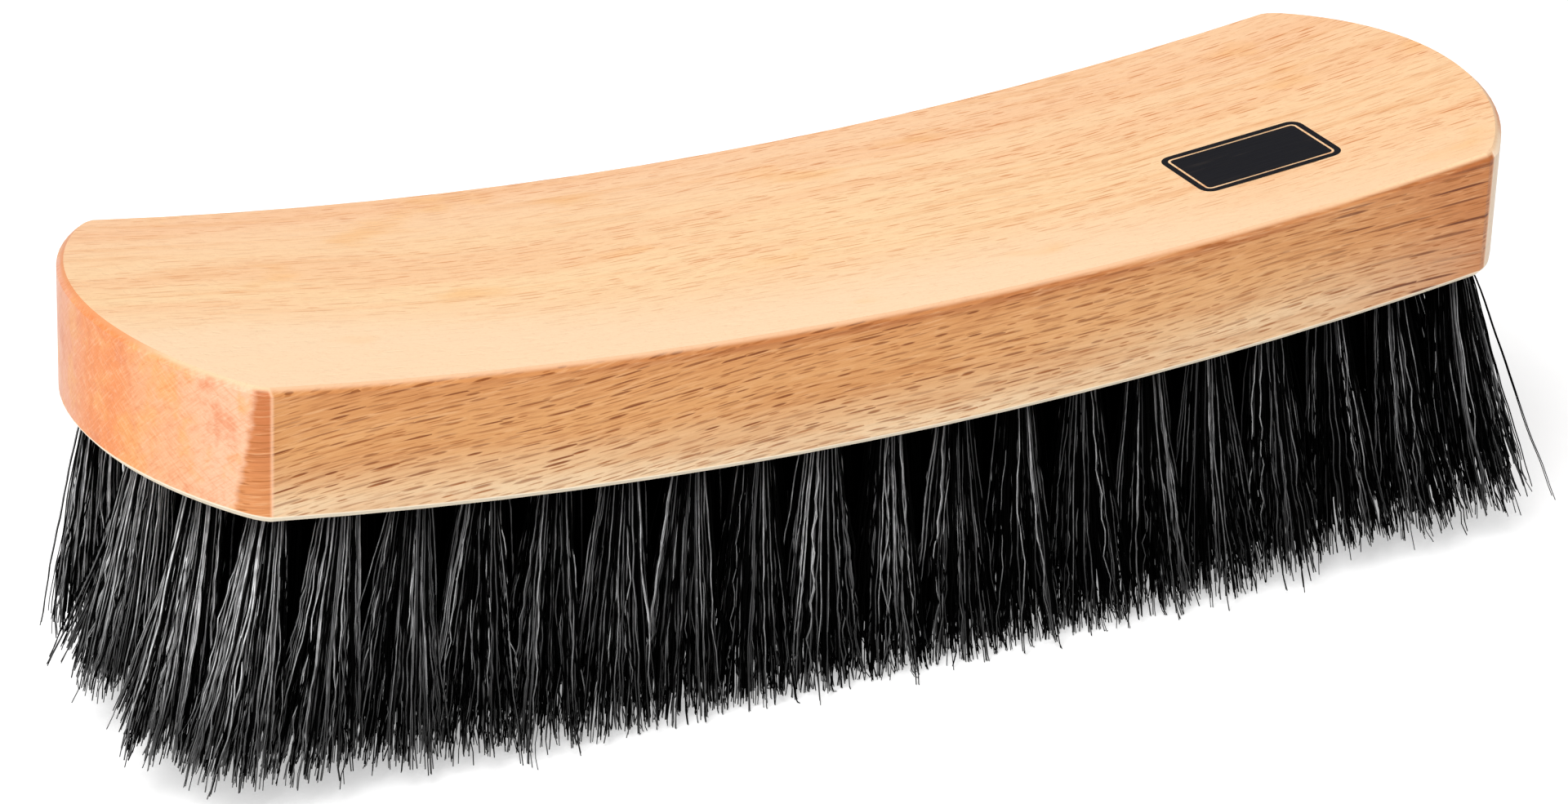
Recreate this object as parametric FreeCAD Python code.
"""Shoe shine brush: a bowed beech block with staple-set bristle tufts.

Millimetres, +Z up, +X along the block. The origin is under the middle of the block, at the level of
the lowest bristle tips. The block is one piece of wood, bowed along its length so that both ends rise.
Each tuft is a bundle of bristles in its own drilled hole, held by a flat wire anchor on the hole's floor.

A level is a distance from the centre of the bow, measured in the plane of the bow: the underside is one
level, the floors of the holes are another. Every tuft, hole and anchor points away from that centre.
"""

import FreeCAD
import Part

import math
import os

# Block
BLOCK_LENGTH = 180.0
BLOCK_WIDTH = 50.0
BLOCK_THICKNESS = 15.7
BOW_RADIUS = 580.0  # of the underside; the top face shares its centre
END_RADIUS = 35.0  # the round of each end, seen from above
CORNER_RADIUS = 6.0  # runs smoothly out of the end's round
CORNER_ARRIS = 20.0  # degrees that are left between the corner's round and the long side
TOP_BREAK = 0.8  # sanded off the top edge
UNDER_BREAK = 0.7  # sanded off the lower edge

# Drilling pattern: lengthwise lines of holes, each line half a pitch on from the line beside it
LINE_COUNT = 7
END_COLUMN = 19  # columns of holes, half a pitch apart, from the middle of the block to each end; odd
SIDE_RIM = 4.3  # from the axes of the outer holes to the long side
END_RIM = 8.5  # from the axis of the end hole on the middle line to the end of the block
CORNER_RIM = 3.5  # the least distance from the axis of a hole to the round end
HOLE_DIAMETER = 4.5
HOLE_DEPTH = 10.0
HOLE_FLATS = 8  # a hole's round wall, in flats; a multiple of four, so that anchors meet flats

# Bristles
BRISTLE_LENGTH = 30.7  # below the block, at the middle of the brush
TRIM_RADIUS = 600.0  # the tips are trimmed to this bow
TUFT_GAP = 0.4  # between neighbouring tufts at the tips
TUFT_CLEARANCE = 0.05  # between a tuft and the wall of its hole, at the mouth

# Anchors
ANCHOR_HEIGHT = 2.0
ANCHOR_THICKNESS = 0.4
ANCHOR_CLEARANCE = 0.02  # at each end, to the wall of the hole

# Worked out from the sizes above
HALF_LENGTH = BLOCK_LENGTH / 2
HALF_WIDTH = BLOCK_WIDTH / 2
END_CENTRE_X = HALF_LENGTH - END_RADIUS
TOP_LEVEL = BOW_RADIUS - BLOCK_THICKNESS
FLOOR_LEVEL = BOW_RADIUS - HOLE_DEPTH
TIP_LEVEL = BOW_RADIUS + BRISTLE_LENGTH
ROOT_LEVEL = FLOOR_LEVEL + ANCHOR_HEIGHT  # a tuft's root rests on its anchor
LINE_PITCH = (BLOCK_WIDTH - 2 * SIDE_RIM) / (LINE_COUNT - 1)
LINE_YS = [(line - (LINE_COUNT - 1) / 2) * LINE_PITCH for line in range(LINE_COUNT)]
COLUMN_ANGLE = math.asin((HALF_LENGTH - END_RIM) / BOW_RADIUS) / END_COLUMN  # radians per column
TUFT_PITCH = 2 * COLUMN_ANGLE * BOW_RADIUS  # along a line, measured on the underside
HOLE_RADIUS = HOLE_DIAMETER / 2
OVERRUN = BLOCK_THICKNESS  # how far a cutting solid stands out past what it cuts
ROUNDING = 1e-6  # the error that is allowed for when two lengths are compared


def point(x, y, z=0.0):
    return FreeCAD.Vector(x, y, z)


BOW_CENTRE = point(0, 0, TIP_LEVEL)


def on_circle(centre_x, centre_y, radius, degrees):
    angle = math.radians(degrees)
    return point(centre_x + radius * math.cos(angle), centre_y + radius * math.sin(angle))


def mirrored(p, x_sign, y_sign):
    return point(x_sign * p.x, y_sign * p.y)


def block_outline():
    """The block's outline from above: straight sides, round ends and a small round at each corner."""
    arris_angle = 90 - CORNER_ARRIS
    corner_y = HALF_WIDTH - CORNER_RADIUS * math.sin(math.radians(arris_angle))
    corner_x = END_CENTRE_X + math.sqrt((END_RADIUS - CORNER_RADIUS) ** 2 - corner_y**2)
    end_angle = math.degrees(math.atan2(corner_y, corner_x - END_CENTRE_X))

    tip = point(HALF_LENGTH, 0)
    end = on_circle(END_CENTRE_X, 0, END_RADIUS, end_angle)
    middle = on_circle(corner_x, corner_y, CORNER_RADIUS, (end_angle + arris_angle) / 2)
    arris = on_circle(corner_x, corner_y, CORNER_RADIUS, arris_angle)

    curves = []
    for x_sign in (1, -1):
        ends = [mirrored(end, x_sign, y_sign) for y_sign in (-1, 1)]
        curves.append(Part.Arc(ends[0], mirrored(tip, x_sign, 1), ends[1]))
        for y_sign in (-1, 1):
            corner = [mirrored(p, x_sign, y_sign) for p in (end, middle, arris)]
            curves.append(Part.Arc(*corner))
    for y_sign in (-1, 1):
        curves.append(Part.LineSegment(mirrored(arris, -1, y_sign), mirrored(arris, 1, y_sign)))
    return Part.Wire(Part.__sortEdges__([curve.toShape() for curve in curves]))


def bow_cylinder(level):
    """A cylinder across the brush, whose lowest part is the bowed face at this level."""
    start = BOW_CENTRE - point(0, BLOCK_WIDTH)
    return Part.makeCylinder(level, 2 * BLOCK_WIDTH, start, point(0, 1))


def bowed_face_edges(solid, level):
    """The edges round the bowed face at this level: those along the sides, and those round the ends."""
    bowed = [face for face in solid.Faces if isinstance(face.Surface, Part.Cylinder)]
    edges = next(face for face in bowed if math.isclose(face.Surface.Radius, level)).OuterWire.Edges
    sides = [edge for edge in edges if isinstance(edge.Curve, Part.Circle)]
    ends = [edge for edge in edges if not isinstance(edge.Curve, Part.Circle)]
    return sides, ends


def sanded(solid, level, size):
    """The block with its edges broken round the bowed face at this level: first the sides, then the ends."""
    sides, _ = bowed_face_edges(solid, level)
    solid = solid.makeChamfer(size, sides)
    _, ends = bowed_face_edges(solid, level)
    return solid.makeChamfer(size, ends)


def plain_block():
    """The shaped and sanded block, before it is drilled."""
    end_height = TIP_LEVEL - math.sqrt(TOP_LEVEL**2 - HALF_LENGTH**2)
    prism = Part.Face(block_outline()).extrude(point(0, 0, end_height + OVERRUN))
    block = prism.common(bow_cylinder(BOW_RADIUS)).cut(bow_cylinder(TOP_LEVEL)).Solids[0]
    return sanded(sanded(block, TOP_LEVEL, TOP_BREAK), BOW_RADIUS, UNDER_BREAK)


class Tuft:
    """One place in the drilling pattern, with axes of its own: along and across its end, and its way out."""

    def __init__(self, line, column):
        self.angle = column * COLUMN_ANGLE
        self.along = point(math.cos(self.angle), 0, math.sin(self.angle))
        x = BOW_RADIUS * math.sin(self.angle)
        z = TIP_LEVEL - BOW_RADIUS * math.cos(self.angle)
        self.mouth = point(x, LINE_YS[line], z)
        self.way = self.mouth - BOW_CENTRE
        self.across = self.way.cross(self.along).normalize()

    def fits(self):
        """True if the hole keeps its distance from the round end."""
        past = max(abs(self.mouth.x) - END_CENTRE_X, 0)
        return math.hypot(past, self.mouth.y) <= END_RADIUS - CORNER_RIM + ROUNDING

    def at(self, level):
        """The point of this tuft's axis at a level."""
        return BOW_CENTRE + self.way * (level / BOW_RADIUS)

    def ring(self, level, corners, scale=1.0):
        """Corners round this tuft's axis, square to it at a level."""
        centre = self.at(level)
        return [centre + self.along * (scale * a) + self.across * (scale * b) for a, b in corners]


def drilling_pattern():
    """Every tuft of the brush, in zigzag rows across the block, from one end to the other.

    The second line and every other line after it start at the end column. The lines between them start one
    column further in, so the last row has no tufts of theirs."""
    rows = []
    for end_column in range(-END_COLUMN, END_COLUMN + 1, 2):
        columns = [end_column + (line + 1) % 2 for line in range(LINE_COUNT)]
        row = [Tuft(line, column) for line, column in enumerate(columns) if column <= END_COLUMN]
        rows.append([tuft for tuft in row if tuft.fits()])
    return rows


def solid_between(near, far):
    """The closed solid between two rings of matching corners, with a flat face on every side."""
    faces = [near, far]
    for i, corner in enumerate(near):
        j = i - 1
        faces.append([near[j], corner, far[i], far[j]])
    shell = Part.makeShell([Part.Face(Part.makePolygon(face + face[:1])) for face in faces])
    solid = Part.makeSolid(shell)
    if solid.Volume < 0:
        solid.reverse()
    return solid


def hole(tuft):
    """The blind hole for one tuft, with the drill's circle just inside its flats."""
    step = 2 * math.pi / HOLE_FLATS
    radius = HOLE_RADIUS / math.cos(step / 2)
    angles = [(i + 0.5) * step for i in range(HOLE_FLATS)]
    corners = [(radius * math.cos(angle), radius * math.sin(angle)) for angle in angles]
    return solid_between(tuft.ring(FLOOR_LEVEL, corners), tuft.ring(BOW_RADIUS + OVERRUN, corners))


def anchor(tuft):
    """The flat wire that stands on edge across the floor of a hole, from wall to wall."""
    half_thickness = ANCHOR_THICKNESS / 2
    half_length = HOLE_RADIUS - ANCHOR_CLEARANCE
    corners = [
        (half_thickness, -half_length),
        (half_thickness, half_length),
        (-half_thickness, half_length),
        (-half_thickness, -half_length),
    ]
    return solid_between(tuft.ring(FLOOR_LEVEL, corners), tuft.ring(ROOT_LEVEL, corners))


def cell_corners():
    """Corners of the six-sided cell round one tuft of the pattern, all equally far from its centre."""
    side = TUFT_PITCH / 2
    slope = TUFT_PITCH**2 / (8 * LINE_PITCH)
    shoulder = LINE_PITCH / 2 - slope
    peak = LINE_PITCH / 2 + slope
    return [(side, -shoulder), (side, shoulder), (0, peak), (-side, shoulder), (-side, -shoulder), (0, -peak)]


def trim_plane(tuft):
    """A point of the trimmed tips on this tuft's axis, and the direction that the tips face there."""
    centre_gap = TIP_LEVEL - TRIM_RADIUS
    sideways = centre_gap * math.sin(tuft.angle)
    tip = tuft.at(centre_gap * math.cos(tuft.angle) + math.sqrt(TRIM_RADIUS**2 - sideways**2))
    return tip, tip - point(0, tip.y, TRIM_RADIUS)


def bristle_tuft(tuft):
    """One bundle: pinched on its anchor, filling the mouth of its hole, and its whole cell at the tips."""
    corners = cell_corners()
    mouth_scale = (HOLE_RADIUS - TUFT_CLEARANCE) / math.hypot(*corners[0])
    tip_scale = TIP_LEVEL / BOW_RADIUS * (1 - TUFT_GAP / TUFT_PITCH)
    taper = (tip_scale - mouth_scale) / BRISTLE_LENGTH
    root = tuft.ring(ROOT_LEVEL, corners, mouth_scale - taper * (BOW_RADIUS - ROOT_LEVEL))
    untrimmed = tuft.ring(TIP_LEVEL, corners, tip_scale)

    tip, facing = trim_plane(tuft)
    trimmed = []
    for start, end in zip(root, untrimmed):
        edge = end - start
        trimmed.append(start + edge * ((tip - start).dot(facing) / edge.dot(facing)))
    return solid_between(root, trimmed)


def write(name, shapes):
    Part.makeCompound(shapes).exportStep(os.path.join("parts", name + ".step"))


def main():
    os.makedirs("parts", exist_ok=True)
    rows = drilling_pattern()
    holes = [hole(tuft) for row in rows for tuft in row]
    write("block", plain_block().cut(holes).Solids)
    for number, row in enumerate(rows, start=1):
        write(f"tuft_row_{number:02d}", [bristle_tuft(tuft) for tuft in row])
        write(f"anchor_row_{number:02d}", [anchor(tuft) for tuft in row])
    print(f"{len(rows)} rows, {len(holes)} tufts")


main()
